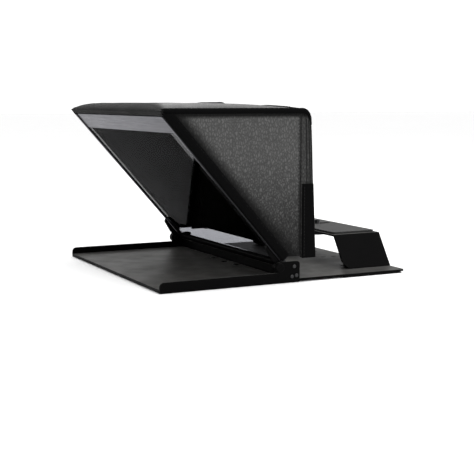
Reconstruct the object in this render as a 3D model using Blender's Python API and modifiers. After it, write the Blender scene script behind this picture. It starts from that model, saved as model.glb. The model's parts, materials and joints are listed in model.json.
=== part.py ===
"""Folding tablet teleprompter.

A flat base plate carries a tablet tray in front and a camera riser behind. A beam splitter glass in a
metal frame leans forward over the tray on two friction hinges, and a leatherette hood closes the space
between the glass and the camera's lens.

Metres, +Z up. The talent stands on the -Y side and the camera operator on the +Y side. The origin is
below the middle of the base, on the surface that it stands on.
"""
import math

import bmesh
import bpy
from mathutils import Vector

MM = 0.001
GAP = 0.3 * MM                     # clearance between pieces that touch

# ---- driving dimensions -------------------------------------------------------------------------
BASE_WIDTH = 246 * MM
BASE_LENGTH = 258 * MM
SHEET = 1.5 * MM                   # bent sheet of the rails
FLANGE = 1.2 * MM                  # folded lower flange of the rails, and everything under the plate
PLATE = 1.9 * MM                   # base plate thickness
PLATE_TOP = FLANGE + GAP + PLATE   # height of the tray floor

RAIL_HEIGHT = 6.5 * MM             # side rail above the tray floor
RAIL_LENGTH = 139.6 * MM
RAIL_CORNER = 4.5 * MM
FLANGE_WIDTH = 18 * MM

PIVOT_S = 118.7 * MM               # hinge axis, behind the front edge
PIVOT_H = 11.2 * MM                # hinge axis, above the tray floor
EAR_RADIUS = 5.2 * MM
MIRROR_ANGLE = math.radians(48.7)  # glass above the horizontal, in the working position
MIRROR_FRONT = 6.4 * MM            # front face of the glass frame, out from the hinge axis
GLASS = 2.0 * MM

HOOD_HEIGHT = 153.8 * MM           # hood's top side edges, above the tray floor
HOOD_FRONT_S = 1.9 * MM
HOOD_REAR_TOP_S = 149.5 * MM
HOOD_REAR_LOW_S = 155.0 * MM
HOOD_BOTTOM = 21.0 * MM
HOOD_CROWN = 7.0 * MM
HOOD_SHEET = 2.2 * MM
HOOD_SEAM_S = 140.0 * MM
LENS_OPENING_RADIUS = 44 * MM
LENS_AXIS_H = 84 * MM

RISER_FRONT_S = 204 * MM
RISER_REAR_S = 257.7 * MM
RISER_TOP_HALF = 78.5 * MM
RISER_FOOT_HALF = 99.5 * MM
RISER_HEIGHT = 31.6 * MM
RISER_SHEET = 2.0 * MM
CAMERA_PAD = 1.5 * MM
SLOT_FRONT_S = 213 * MM
SLOT_REAR_S = 247 * MM
SCREW_RADIUS = 3.175 * MM          # quarter-inch camera screw
SCREW_REST_S = 232 * MM

HALF = BASE_WIDTH / 2
SIDES = (("left", -1), ("right", 1))


def y_at(s):
    """World Y of a point at distance s behind the front edge."""
    return s - BASE_LENGTH / 2


def z_at(h):
    """World Z of a point at height h above the tray floor."""
    return PLATE_TOP + h


# ---- helpers ------------------------------------------------------------------------------------
def clear_scene():
    for obj in list(bpy.data.objects):
        bpy.data.objects.remove(obj, do_unlink=True)


def collection(name):
    made = bpy.data.collections.new(name)
    bpy.context.scene.collection.children.link(made)
    return made


def material(name, colour, roughness, metallic):
    made = bpy.data.materials.new(name)
    made.use_nodes = True
    shader = made.node_tree.nodes["Principled BSDF"]
    shader.inputs["Base Color"].default_value = (*colour, 1.0)
    shader.inputs["Roughness"].default_value = roughness
    shader.inputs["Metallic"].default_value = metallic
    return made


FINISHES = {
    "black_metal": ((0.02, 0.02, 0.022), 0.35, 0.6),
    "steel": ((0.25, 0.25, 0.26), 0.3, 1.0),
    "leatherette": ((0.05, 0.05, 0.05), 0.6, 0.0),
    "binding": ((0.012, 0.012, 0.012), 0.7, 0.0),
    "rubber": ((0.02, 0.02, 0.02), 0.85, 0.0),
    "nylon": ((0.04, 0.04, 0.04), 0.5, 0.0),
    "coated_glass": ((0.30, 0.31, 0.33), 0.03, 0.2),
}


def place(obj, finish, location=(0, 0, 0), rotation=(0, 0, 0), parent=None):
    """Give a piece its own material and its place."""
    obj.data.materials.append(material(obj.name, *FINISHES[finish]))
    obj.location = location
    obj.rotation_euler = rotation
    obj.parent = parent
    PARTS.objects.link(obj)
    return obj


def axis_empty(name, location, rotation=(0, 0, 0), parent=None):
    made = bpy.data.objects.new(name, None)
    made.location = location
    made.rotation_euler = rotation
    made.parent = parent
    made.empty_display_size = 0.02
    PARTS.objects.link(made)
    return made


def arc(centre, radius, start, end, count):
    """Points of an arc, angles in degrees."""
    steps = [math.radians(start + (end - start) * i / count) for i in range(count + 1)]
    return [(centre[0] + radius * math.cos(a), centre[1] + radius * math.sin(a)) for a in steps]


def circle(centre, radius, count=16):
    return arc(centre, radius, 0, 360, count)[:-1]


def slot_outline(centre, length, radius, count=6):
    """Outline of a slot with round ends, along Y."""
    reach = length / 2 - radius
    low, high = (centre[0], centre[1] - reach), (centre[0], centre[1] + reach)
    return arc(high, radius, 0, 180, count) + arc(low, radius, 180, 360, count)


def rounded_box(low, high, radius, count=4):
    """Outline of a rectangle with round corners."""
    (x0, y0), (x1, y1) = low, high
    return (arc((x1 - radius, y1 - radius), radius, 0, 90, count)
            + arc((x0 + radius, y1 - radius), radius, 90, 180, count)
            + arc((x0 + radius, y0 + radius), radius, 180, 270, count)
            + arc((x1 - radius, y0 + radius), radius, 270, 360, count))


def flat_mesh(name, outlines, low, high):
    """A plate from a closed outline and its holes, between two levels of its own Z."""
    curve = bpy.data.curves.new(name, "CURVE")
    curve.dimensions = "2D"
    curve.fill_mode = "BOTH"
    curve.extrude = (high - low) / 2
    for outline in outlines:
        spline = curve.splines.new("POLY")
        spline.points.add(len(outline) - 1)
        for point, (a, b) in zip(spline.points, outline):
            point.co = (a, b, 0, 1)
        spline.use_cyclic_u = True
    guide = bpy.data.objects.new(name + "_outline", curve)
    bpy.context.scene.collection.objects.link(guide)
    bpy.context.view_layer.update()
    evaluated = guide.evaluated_get(bpy.context.evaluated_depsgraph_get())
    mesh = bpy.data.meshes.new_from_object(evaluated)
    mesh.name = name
    bpy.data.objects.remove(guide, do_unlink=True)
    bpy.data.curves.remove(curve)
    work = bmesh.new()
    work.from_mesh(mesh)
    bmesh.ops.remove_doubles(work, verts=work.verts, dist=1e-6)
    bmesh.ops.translate(work, verts=work.verts, vec=(0, 0, (high + low) / 2))
    bmesh.ops.recalc_face_normals(work, faces=work.faces)
    work.to_mesh(mesh)
    work.free()
    return mesh


def plate(name, outlines, low, high, finish, **where):
    return place(bpy.data.objects.new(name, flat_mesh(name, outlines, low, high)), finish, **where)


UPRIGHT = (math.radians(90), 0, math.radians(90))   # outline in Y and Z, thickness along X


def side_plate(name, outlines, inner, outer, side, finish, **where):
    """A plate standing at one side, between two distances from the middle plane."""
    low, high = sorted((side * inner, side * outer))
    return plate(name, outlines, low, high, finish, rotation=UPRIGHT, **where)


def box_mesh(name, low, high):
    low, high = Vector(low), Vector(high)
    work = bmesh.new()
    bmesh.ops.create_cube(work, size=1.0)
    bmesh.ops.scale(work, verts=work.verts, vec=high - low)
    bmesh.ops.translate(work, verts=work.verts, vec=(high + low) / 2)
    mesh = bpy.data.meshes.new(name)
    work.to_mesh(mesh)
    work.free()
    return mesh


def bevel(obj, width, segments=2):
    modifier = obj.modifiers.new("edges", "BEVEL")
    modifier.width = width
    modifier.segments = segments
    modifier.limit_method = "ANGLE"
    modifier.angle_limit = math.radians(40)
    return obj


def bar(name, low, high, finish, edge=0.5 * MM, **where):
    return bevel(place(bpy.data.objects.new(name, box_mesh(name, low, high)), finish, **where), edge)


def turned(name, profile, finish, segments=24, **where):
    """A solid of revolution about its own Z. The profile runs from the top of the axis to the bottom."""
    mesh = bpy.data.meshes.new(name)
    points = [(radius, 0, height) for radius, height in profile]
    mesh.from_pydata(points, [(i, i + 1) for i in range(len(points) - 1)], [])
    obj = place(bpy.data.objects.new(name, mesh), finish, **where)
    spin = obj.modifiers.new("turn", "SCREW")
    spin.angle = math.tau
    spin.steps = spin.render_steps = segments
    spin.use_merge_vertices = True
    spin.merge_threshold = 1e-6
    return obj


def ring(name, inner, outer, low, high, finish, segments=24, **where):
    """A washer or collar: a closed profile turned about its own Z."""
    mesh = bpy.data.meshes.new(name)
    points = [(outer, 0, high), (outer, 0, low), (inner, 0, low), (inner, 0, high)]
    mesh.from_pydata(points, [(0, 1), (1, 2), (2, 3), (3, 0)], [])
    obj = place(bpy.data.objects.new(name, mesh), finish, **where)
    spin = obj.modifiers.new("turn", "SCREW")
    spin.angle = math.tau
    spin.steps = spin.render_steps = segments
    spin.use_merge_vertices = True
    spin.merge_threshold = 1e-6
    return obj


def curved_sheet(name, point, columns, rows, thickness, finish, **where):
    """A sheet through point(a, b) for a and b from 0 to 1, thickened downwards."""
    work = bmesh.new()
    grid = [[work.verts.new(point(i / columns, j / rows)) for i in range(columns + 1)]
            for j in range(rows + 1)]
    for j in range(rows):
        for i in range(columns):
            work.faces.new((grid[j][i], grid[j][i + 1], grid[j + 1][i + 1], grid[j + 1][i]))
    bmesh.ops.recalc_face_normals(work, faces=work.faces)
    if sum(face.normal.z for face in work.faces) < 0:
        bmesh.ops.reverse_faces(work, faces=work.faces)
    mesh = bpy.data.meshes.new(name)
    work.to_mesh(mesh)
    work.free()
    obj = place(bpy.data.objects.new(name, mesh), finish, **where)
    shell = obj.modifiers.new("thickness", "SOLIDIFY")
    shell.thickness = thickness
    shell.offset = -1
    return obj


def boolean(obj, tool, operation):
    modifier = obj.modifiers.new(operation.lower(), "BOOLEAN")
    modifier.operation = operation
    modifier.solver = "EXACT"
    modifier.object = tool


def helper(name, mesh, **where):
    """A hidden solid that is joined to or cut from a part."""
    obj = bpy.data.objects.new(name, mesh)
    obj.location = where.get("location", (0, 0, 0))
    obj.rotation_euler = where.get("rotation", (0, 0, 0))
    obj.hide_render = True
    obj.display_type = "WIRE"
    CUTTERS.objects.link(obj)
    return obj


# ---- base ---------------------------------------------------------------------------------------
PLATE_SLOT_X = 20 * MM
PLATE_SLOT_S = (228 * MM, 241 * MM)
RAIL_SCREWS = ((131.5 * MM, 2.3 * MM), (136.2 * MM, 3.1 * MM), (133.8 * MM, 11.6 * MM))
WALL_LOW = 0.15 * MM               # outer bend of the flange
FOOT_SCREW_S = (213 * MM, 248 * MM)
FOOT_SCREW_X = 87 * MM
TRAY_FRONT_LIP = 1.4 * MM
LIP_INSET = 0.4 * MM
STEP_CHAMFER = 0.8 * MM
LIP_LOW = FLANGE - 0.6 * MM


def base_plate():
    """Flat sheet: narrower between the rails, full width behind them, with its front edge turned down."""
    step = y_at(RAIL_LENGTH + GAP) + STEP_CHAMFER
    inner = HALF - SHEET - GAP
    front, rear = y_at(0), y_at(BASE_LENGTH)
    corner = 3 * MM
    outline = ([(inner, front), (inner, step - STEP_CHAMFER), (HALF, step)]
               + arc((HALF - corner, rear - corner), corner, 0, 90, 4)
               + arc((-HALF + corner, rear - corner), corner, 90, 180, 4)
               + [(-HALF, step), (-inner, step - STEP_CHAMFER), (-inner, front)])
    holes = [slot_outline((side * PLATE_SLOT_X, y_at(s)), 6.0 * MM, 1.5 * MM, count=4)
             for side in (-1, 1) for s in PLATE_SLOT_S]
    holes += [circle((side * FOOT_SCREW_X, y_at(s)), 1.9 * MM, 12)
              for side in (-1, 1) for s in FOOT_SCREW_S]
    holes += [circle((side * TRIPOD_SCREW_X, y_at(TRIPOD_S)), 1.9 * MM, 12) for side in (-1, 1)]
    holes.append(circle((0, y_at(TRIPOD_S)), 3.4 * MM, 16))
    piece = plate("base_plate", [outline] + holes, PLATE_TOP - PLATE, PLATE_TOP, "black_metal")
    lip = helper("front_lip", box_mesh("front_lip", (-inner + LIP_INSET, front + LIP_INSET / 4, LIP_LOW),
                                       (inner - LIP_INSET, front + TRAY_FRONT_LIP, PLATE_TOP - PLATE / 2)))
    boolean(piece, lip, "UNION")


def rail_outline():
    """Rail wall seen from the side: low along the tray, then an ear round the hinge and a taller rear."""
    top = z_at(RAIL_HEIGHT)
    ear_y, ear_z = y_at(PIVOT_S), z_at(PIVOT_H)
    ear_top = ear_z + EAR_RADIUS
    front, rear = y_at(0), y_at(RAIL_LENGTH)
    drop = math.degrees(math.asin((ear_z - top) / EAR_RADIUS))
    outline = [(front, WALL_LOW), (rear, WALL_LOW)]
    outline += arc((rear - 3 * MM, ear_top - 3 * MM), 3 * MM, 0, 90, 4)
    outline += arc((ear_y, ear_z), EAR_RADIUS, 90, 180 + drop, 8)
    outline += arc((front + RAIL_CORNER, top - RAIL_CORNER), RAIL_CORNER, 90, 180, 5)
    return outline


def side_rail(word, side):
    """Bent sheet: a wall with the hinge ear, and a flange folded under the plate."""
    holes = [circle((y_at(PIVOT_S), z_at(PIVOT_H)), 2.3 * MM, 16)]
    holes += [circle((y_at(s), z_at(h)), 1.1 * MM, 10) for s, h in RAIL_SCREWS]
    piece = side_plate(f"side_rail_{word}", [rail_outline()] + holes, HALF - SHEET, HALF, side,
                       "black_metal")
    low_x, high_x = sorted((side * (HALF - FLANGE_WIDTH), side * (HALF - SHEET / 2)))
    fold = helper(f"flange_{word}", box_mesh("flange", (low_x, y_at(TRAY_FRONT_LIP + GAP), 0),
                                             (high_x, y_at(RAIL_LENGTH - GAP), FLANGE)))
    boolean(piece, fold, "UNION")


CROSS_FRONT_S = 128 * MM
CROSS_REAR_S = 138 * MM
CROSS_HEIGHT = 9.0 * MM


def tray_cross_bar():
    """Stop bar behind the tray, between the two rails."""
    reach = HALF - SHEET - GAP
    bar("tray_cross_bar", (-reach, y_at(CROSS_FRONT_S), z_at(GAP)),
        (reach, y_at(CROSS_REAR_S), z_at(CROSS_HEIGHT)), "black_metal")


def rail_screws(word, side):
    """Small button-head screws through the rail wall into the cross bar."""
    head, shank = 0.8 * MM, SHEET + 0.1 * MM
    for number, (s, h) in enumerate(RAIL_SCREWS, start=1):
        turned(f"rail_screw_{word}_{number}",
               [(0, head), (1.3 * MM, head), (1.8 * MM, 0.35 * MM), (1.8 * MM, 0), (0.8 * MM, 0),
                (0.8 * MM, -shank), (0, -shank)], "steel", segments=16,
               location=(side * (HALF + 0.1 * MM), y_at(s), z_at(h)),
               rotation=(0, side * math.radians(90), 0))


PIN_RADIUS = 2.0 * MM
WASHER_THICK = 0.8 * MM
ARM_OUTER = HALF - SHEET - 2 * GAP - WASHER_THICK
ARM_THICK = 2.5 * MM


def hinge_pin(word, side):
    """Pin of the friction hinge: a round head outside the rail, a shaft through rail, washer and arm."""
    head = 1.3 * MM
    reach = HALF - ARM_OUTER + ARM_THICK + 1.6 * MM
    tip = PIN_RADIUS - 0.5 * MM
    turned(f"hinge_pin_{word}",
           [(0, head), (3.6 * MM, head), (4.6 * MM, 0.6 * MM), (4.6 * MM, 0), (PIN_RADIUS, 0),
            (PIN_RADIUS, -reach + 0.5 * MM), (tip, -reach), (0, -reach)], "black_metal",
           location=(side * (HALF + GAP), y_at(PIVOT_S), z_at(PIVOT_H)),
           rotation=(0, side * math.radians(90), 0))
    ring(f"hinge_washer_{word}", PIN_RADIUS + GAP, 4.6 * MM, 0, WASHER_THICK, "nylon",
         location=(side * (ARM_OUTER + GAP), y_at(PIVOT_S), z_at(PIVOT_H)),
         rotation=(0, side * math.radians(90), 0))


STIFFENER_FRONT_S = 189 * MM
STIFFENER_REAR_S = 254 * MM


def rear_stiffener(word, side):
    """Strip under each rear edge of the plate, which levels it with the rails' flanges."""
    low_x, high_x = sorted((side * (HALF - 14 * MM), side * (HALF - 0.4 * MM)))
    bar(f"rear_stiffener_{word}", (low_x, y_at(STIFFENER_FRONT_S), 0),
        (high_x, y_at(STIFFENER_REAR_S), FLANGE), "black_metal", edge=0.2 * MM)


TRIPOD_S = 122 * MM
TRIPOD_HALF_X = 36 * MM
TRIPOD_HALF_Y = 24 * MM
TRIPOD_SCREW_X = 26 * MM


def tripod_mount():
    """Mounting plate under the base with a threaded bush and two countersunk screws."""
    middle = y_at(TRIPOD_S)
    outline = rounded_box((-TRIPOD_HALF_X, middle - TRIPOD_HALF_Y),
                          (TRIPOD_HALF_X, middle + TRIPOD_HALF_Y), 5 * MM)
    holes = [circle((0, middle), 6.3 * MM, 20)]
    holes += [circle((side * TRIPOD_SCREW_X, middle), 1.9 * MM, 12) for side in (-1, 1)]
    plate("tripod_mount_plate", [outline] + holes, 0, FLANGE, "black_metal")
    ring("tripod_bush", SCREW_RADIUS, 6.0 * MM, 0, FLANGE, "steel", location=(0, middle, 0))
    for word, side in SIDES:
        top = PLATE_TOP
        turned(f"tripod_plate_screw_{word}",
               [(0, top + 1.4 * MM), (2.4 * MM, top + 1.4 * MM), (3.2 * MM, top + GAP + 0.3 * MM),
                (3.2 * MM, top + GAP), (1.5 * MM, top + GAP), (1.5 * MM, 0.2 * MM), (0, 0.2 * MM)],
               "steel", segments=16, location=(side * TRIPOD_SCREW_X, middle, 0))


# ---- riser --------------------------------------------------------------------------------------
FOOT_WIDTH = 16 * MM


def crossing(a, b, c, d):
    """Where the line through a and b meets the line through c and d."""
    ab, cd, ac = b - a, d - c, c - a
    return a + ab * (ac.cross(cd) / ab.cross(cd))


def thicken(line, thickness):
    """Closed outline of a bent sheet: the line, and the same line moved to its left."""
    points = [Vector(point) for point in line]
    moved = []
    for a, b in zip(points, points[1:]):
        along = (b - a).normalized()
        normal = Vector((-along.y, along.x)) * thickness
        moved.append((a + normal, b + normal))
    inner = [moved[0][0]]
    inner += [crossing(*moved[i], *moved[i + 1]) for i in range(len(moved) - 1)]
    inner.append(moved[-1][1])
    return [tuple(point) for point in points + inner[::-1]]


def riser_section():
    """Outer line of the sheet from one foot over the top to the other, as (x, height)."""
    half = [(RISER_FOOT_HALF - FOOT_WIDTH, GAP), (RISER_FOOT_HALF, GAP), (RISER_TOP_HALF, RISER_HEIGHT)]
    return half + [(-x, h) for x, h in reversed(half)]


def camera_riser():
    """Bridge of bent sheet: splayed legs with feet folded in, and a slot for the camera screw."""
    outline = [(x, z_at(h)) for x, h in thicken(riser_section(), RISER_SHEET)]
    piece = plate("camera_riser", [outline], -y_at(RISER_REAR_S), -y_at(RISER_FRONT_S), "black_metal",
                  rotation=(math.radians(90), 0, 0))
    bevel(piece, 0.5 * MM)
    middle = y_at((SLOT_FRONT_S + SLOT_REAR_S) / 2)
    length = SLOT_REAR_S - SLOT_FRONT_S
    low, high = z_at(RISER_HEIGHT - 6 * MM), z_at(RISER_HEIGHT + 4 * MM)
    slot = flat_mesh("riser_slot", [slot_outline((0, middle), length, SCREW_RADIUS + 0.5 * MM)], low, high)
    boolean(piece, helper("riser_slot", slot), "DIFFERENCE")
    corner_cutters(piece)
    for word, side in SIDES:
        for number, s in enumerate(FOOT_SCREW_S, start=1):
            hole = flat_mesh("foot_hole", [circle((side * FOOT_SCREW_X, y_at(s)), 1.9 * MM, 12)],
                             z_at(-1 * MM), z_at(5 * MM))
            boolean(piece, helper(f"foot_hole_{word}_{number}", hole), "DIFFERENCE")


LEG_CORNER = 9 * MM


def corner_cutters(piece):
    """Round the lower front corner of each leg."""
    reach = LEG_CORNER
    front = y_at(RISER_FRONT_S)
    low = z_at(-1 * MM)
    centre = (front + reach, z_at(GAP) + reach)
    outline = [(front - 2 * MM, low), (front + reach, low), (front + reach, z_at(GAP))]
    outline += arc(centre, reach, 270, 180, 6)[1:] + [(front - 2 * MM, centre[1])]
    for word, side in SIDES:
        low_x, high_x = sorted((side * (RISER_FOOT_HALF - 30 * MM), side * (RISER_FOOT_HALF + 4 * MM)))
        mesh = flat_mesh("leg_corner", [outline], low_x, high_x)
        boolean(piece, helper(f"leg_corner_{word}", mesh, rotation=UPRIGHT), "DIFFERENCE")


def foot_screws(word, side):
    """Screws that hold the riser's feet to the plate, with their nuts under it."""
    top = z_at(GAP + RISER_SHEET)
    for number, s in enumerate(FOOT_SCREW_S, start=1):
        turned(f"riser_screw_{word}_{number}",
               [(0, top + 2.0 * MM), (2.2 * MM, top + 2.0 * MM), (3.0 * MM, top + 1.2 * MM),
                (3.0 * MM, top + GAP), (1.5 * MM, top + GAP), (1.5 * MM, FLANGE),
                (3.2 * MM, FLANGE), (3.2 * MM, 0.2 * MM), (0, 0.2 * MM)], "steel", segments=16,
               location=(side * FOOT_SCREW_X, y_at(s), 0))


def camera_pad():
    """Thin rubber pad on top of the riser, slotted like it."""
    outline = rounded_box((-RISER_TOP_HALF + 5 * MM, y_at(RISER_FRONT_S + 2.5 * MM)),
                          (RISER_TOP_HALF - 5 * MM, y_at(RISER_REAR_S - 2.5 * MM)), 3 * MM)
    middle = y_at((SLOT_FRONT_S + SLOT_REAR_S) / 2)
    slot = slot_outline((0, middle), SLOT_REAR_S - SLOT_FRONT_S + 1 * MM, SCREW_RADIUS + 1 * MM)
    low = z_at(RISER_HEIGHT + GAP)
    plate("camera_pad", [outline, slot], low, low + CAMERA_PAD, "rubber")


def camera_screw():
    """Captive screw with a knurled head under the riser, and the washer that slides along the slot."""
    location = (0, y_at(SCREW_REST_S), z_at(0))
    under = RISER_HEIGHT - RISER_SHEET - GAP
    washer_thick = 1.0 * MM
    ring("camera_screw_washer", SCREW_RADIUS + GAP, 8.5 * MM, under - washer_thick, under, "nylon",
         location=location)
    head_top = under - washer_thick - GAP
    head_low = head_top - 6 * MM
    tip = RISER_HEIGHT + GAP + CAMERA_PAD + 4.5 * MM
    turned("camera_screw",
           [(0, tip), (SCREW_RADIUS - 0.6 * MM, tip), (SCREW_RADIUS, tip - 0.6 * MM),
            (SCREW_RADIUS, head_top), (8.2 * MM, head_top), (9.0 * MM, head_top - 0.8 * MM),
            (9.0 * MM, head_low + 0.8 * MM), (8.2 * MM, head_low), (0, head_low)], "steel",
           location=location)


# ---- mirror frame, on the hinge axis ------------------------------------------------------------
FRAME_THICK = 2.4 * MM
BAR_OUTER = ARM_OUTER              # side bars end flush with the hinge arms
BAR_WIDTH = 3.4 * MM
GLASS_HALF = BAR_OUTER - BAR_WIDTH - GAP
FRAME_TOP_U = 178.0 * MM
TOP_BAR_U = 158.8 * MM
BOTTOM_BAR_U = 1.0 * MM
FRAME_LOW_U = -6.0 * MM


def mirror_frame(axis):
    """Bars round the glass. In the hinge's own frame, -Y runs up along the glass and +Z is its rear."""
    front, rear = MIRROR_FRONT, MIRROR_FRONT + FRAME_THICK
    reach = GLASS_HALF
    bar("mirror_top_bar", (-reach, -FRAME_TOP_U, front), (reach, -TOP_BAR_U, rear), "black_metal",
        edge=0.3 * MM, parent=axis)
    bar("mirror_bottom_bar", (-reach, -BOTTOM_BAR_U + GAP, front - 2.2 * MM),
        (reach, -FRAME_LOW_U, rear), "black_metal", edge=0.8 * MM, parent=axis)
    for word, side in SIDES:
        low_x, high_x = sorted((side * (reach + GAP), side * BAR_OUTER))
        bar(f"mirror_side_bar_{word}", (low_x, -FRAME_TOP_U, front - 1.0 * MM),
            (high_x, -FRAME_LOW_U, rear + 0.6 * MM), "black_metal", edge=0.4 * MM, parent=axis)


def beam_splitter(axis):
    """Coated glass between the bars."""
    front = MIRROR_FRONT + 0.2 * MM
    bar("beam_splitter_glass", (-GLASS_HALF + GAP, -TOP_BAR_U + GAP, front),
        (GLASS_HALF - GAP, -BOTTOM_BAR_U, front + GLASS), "coated_glass", edge=0.2 * MM, parent=axis)


CLIP_U = (30 * MM, 90 * MM, 150 * MM)


def glass_clips(word, side, axis):
    """Spring clips behind the glass, from the side bar on to its edge."""
    low = MIRROR_FRONT + FRAME_THICK + 0.6 * MM + GAP
    low_x, high_x = sorted((side * (BAR_OUTER - 11 * MM), side * (BAR_OUTER - 0.6 * MM)))
    for number, u in enumerate(CLIP_U, start=1):
        bar(f"glass_clip_{word}_{number}", (low_x, -u - 5 * MM, low), (high_x, -u + 5 * MM, low + 1.0 * MM),
            "black_metal", edge=0.25 * MM, parent=axis)


def hinge_arm(word, side, axis):
    """Arm from the hinge pin to the side bar, with a round boss about the pin."""
    top = MIRROR_FRONT - 1.0 * MM - GAP
    boss = 4.9 * MM
    # outline in the arm's own (y, z): y runs down along the glass
    outline = arc((0, 0), boss, 180, 360, 12)
    outline += [(boss, top), (-24 * MM, top), (-22 * MM, top - 2.6 * MM), (-10 * MM, 0.2 * MM)]
    hole = circle((0, 0), PIN_RADIUS + GAP, 16)
    side_plate(f"hinge_arm_{word}", [outline, hole], ARM_OUTER - ARM_THICK, ARM_OUTER, side,
               "black_metal", parent=axis)


# ---- hood ---------------------------------------------------------------------------------------
def hood_front_s(h):
    """Front edge of the hood at a height: it follows the plane of the glass frame."""
    return HOOD_FRONT_S + (HOOD_HEIGHT - h) / math.tan(MIRROR_ANGLE)


def hood_rear_s(h):
    share = (h - HOOD_BOTTOM) / (HOOD_HEIGHT - HOOD_BOTTOM)
    return HOOD_REAR_LOW_S + (HOOD_REAR_TOP_S - HOOD_REAR_LOW_S) * share


SIDE_INNER = HALF - HOOD_SHEET
SIDE_TOP = HOOD_HEIGHT - HOOD_SHEET - GAP
BORDER = 10.5 * MM                 # binding along the hood's slanted front edge, measured level
BORDER_LOW = PIVOT_H + EAR_RADIUS + 0.8 * MM


def to_world(points):
    return [(y_at(s), z_at(h)) for s, h in points]


def hood_side(word, side):
    """Side panel, its front binding and its rear border strip."""
    low = HOOD_BOTTOM
    seam = HOOD_SEAM_S
    panel = [(hood_front_s(SIDE_TOP) + BORDER, SIDE_TOP), (hood_front_s(low) + BORDER, low),
             (seam, low), (seam, SIDE_TOP)]
    side_plate(f"hood_side_panel_{word}", [to_world(panel)], SIDE_INNER, HALF, side, "leatherette")
    edge = BORDER - GAP
    binding = [(hood_front_s(SIDE_TOP), SIDE_TOP), (hood_front_s(BORDER_LOW), BORDER_LOW),
               (hood_front_s(BORDER_LOW) + edge * 0.6, BORDER_LOW), (hood_front_s(low) + edge, low),
               (hood_front_s(SIDE_TOP) + edge, SIDE_TOP)]
    side_plate(f"hood_front_binding_{word}", [to_world(binding)], SIDE_INNER, HALF, side, "binding")
    seam += GAP
    strip = [(seam, SIDE_TOP), (seam, low - 1.5 * MM), (hood_rear_s(low), low - 1.5 * MM),
             (hood_rear_s(SIDE_TOP), SIDE_TOP)]
    side_plate(f"hood_rear_border_{word}", [to_world(strip)], SIDE_INNER, HALF + 0.2 * MM, side,
               "leatherette")


CROWN_RISE = 0.12                  # share of the hood's depth in which the top rises behind its front edge
CROWN_FALL_START = 0.5             # share of the depth where the top starts to fall to the rear
CROWN_FALL = 0.65                  # share of the crown lost at the rear edge


def crown(a, b):
    """Rise of the hood's top above its edges, for a across and b from front to rear."""
    across = math.sqrt(max(0.0, 1 - abs(2 * a - 1) ** 8))
    along = math.sqrt(1 - max(0.0, 1 - b / CROWN_RISE) ** 2)
    behind = max(0.0, b - CROWN_FALL_START) / (1 - CROWN_FALL_START)
    return HOOD_CROWN * across * along * (1 - CROWN_FALL * behind ** 1.5)


def hood_top_point(a, b):
    s = HOOD_FRONT_S + b * (HOOD_REAR_TOP_S - HOOD_FRONT_S)
    return (-HALF + a * BASE_WIDTH, y_at(s), z_at(HOOD_HEIGHT + crown(a, b)))


FLAP_HALF = 108 * MM
FLAP_FRONT = 0.80
FLAP_REAR = 0.985


def flap_point(a, b):
    """The flap lies on the hood's top, a clearance above it."""
    across = 0.5 + (a - 0.5) * 2 * FLAP_HALF / BASE_WIDTH
    x, y, z = hood_top_point(across, FLAP_FRONT + b * (FLAP_REAR - FLAP_FRONT))
    return (x, y, z + GAP + 1.8 * MM)


def hood_top():
    curved_sheet("hood_top_panel", hood_top_point, 12, 14, HOOD_SHEET, "leatherette")
    curved_sheet("hood_top_flap", flap_point, 12, 4, 1.4 * MM, "leatherette")


REAR_TOP_CLEARANCE = 1.0 * MM
REAR_CORNER = 2 * MM
COLLAR_THICK = 2.1 * MM
COLLAR_INNER = LENS_OPENING_RADIUS - 7 * MM
COLLAR_OUTER = LENS_OPENING_RADIUS + 3 * MM
LAYER_GAP = 0.1 * MM               # from the rear plane to the panel in front of it and the collar behind


def hood_rear_outline(reach, length):
    """Rear panel in its own plane: round lower corners, and a top edge that follows the crown."""
    steps = 12
    across = [reach * (1 - 2 * i / steps) for i in range(steps + 1)]
    top = [(x, length + crown(0.5 + x / BASE_WIDTH, 1.0)) for x in across]
    return (arc((-reach + REAR_CORNER, REAR_CORNER), REAR_CORNER, 180, 270, 4)
            + arc((reach - REAR_CORNER, REAR_CORNER), REAR_CORNER, 270, 360, 4) + top)


def hood_rear():
    """Rear panel with the round lens opening, and the soft collar sewn round it."""
    lean = math.atan2(HOOD_REAR_LOW_S - HOOD_REAR_TOP_S, HOOD_HEIGHT - HOOD_BOTTOM)
    length = (SIDE_TOP - HOOD_BOTTOM) / math.cos(lean) - REAR_TOP_CLEARANCE
    reach = SIDE_INNER - GAP
    origin = (0, y_at(HOOD_REAR_LOW_S), z_at(HOOD_BOTTOM))
    plane = axis_empty("hood_rear_plane", origin, (math.radians(90) + lean, 0, 0))
    centre = (0, (LENS_AXIS_H - HOOD_BOTTOM) / math.cos(lean))
    opening = circle(centre, LENS_OPENING_RADIUS, 32)
    low = 2 * LAYER_GAP
    plate("hood_rear_panel", [hood_rear_outline(reach, length), opening], low, low + HOOD_SHEET,
          "leatherette", parent=plane)
    ring("lens_collar", COLLAR_INNER, COLLAR_OUTER, -LAYER_GAP - COLLAR_THICK, -LAYER_GAP,
         "binding", segments=32, location=(*centre, 0), parent=plane)


def build():
    base_plate()
    tray_cross_bar()
    tripod_mount()
    hinge = axis_empty("mirror_hinge_axis", (0, y_at(PIVOT_S), z_at(PIVOT_H)), (-MIRROR_ANGLE, 0, 0))
    mirror_frame(hinge)
    beam_splitter(hinge)
    camera_riser()
    camera_pad()
    camera_screw()
    hood_top()
    hood_rear()
    for word, side in SIDES:
        side_rail(word, side)
        rail_screws(word, side)
        hinge_pin(word, side)
        rear_stiffener(word, side)
        foot_screws(word, side)
        glass_clips(word, side, hinge)
        hinge_arm(word, side, hinge)
        hood_side(word, side)


clear_scene()
PARTS = collection("teleprompter")
CUTTERS = collection("cutters")
build()
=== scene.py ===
import json
import math

import bmesh
import bpy
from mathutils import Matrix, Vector, noise


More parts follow.
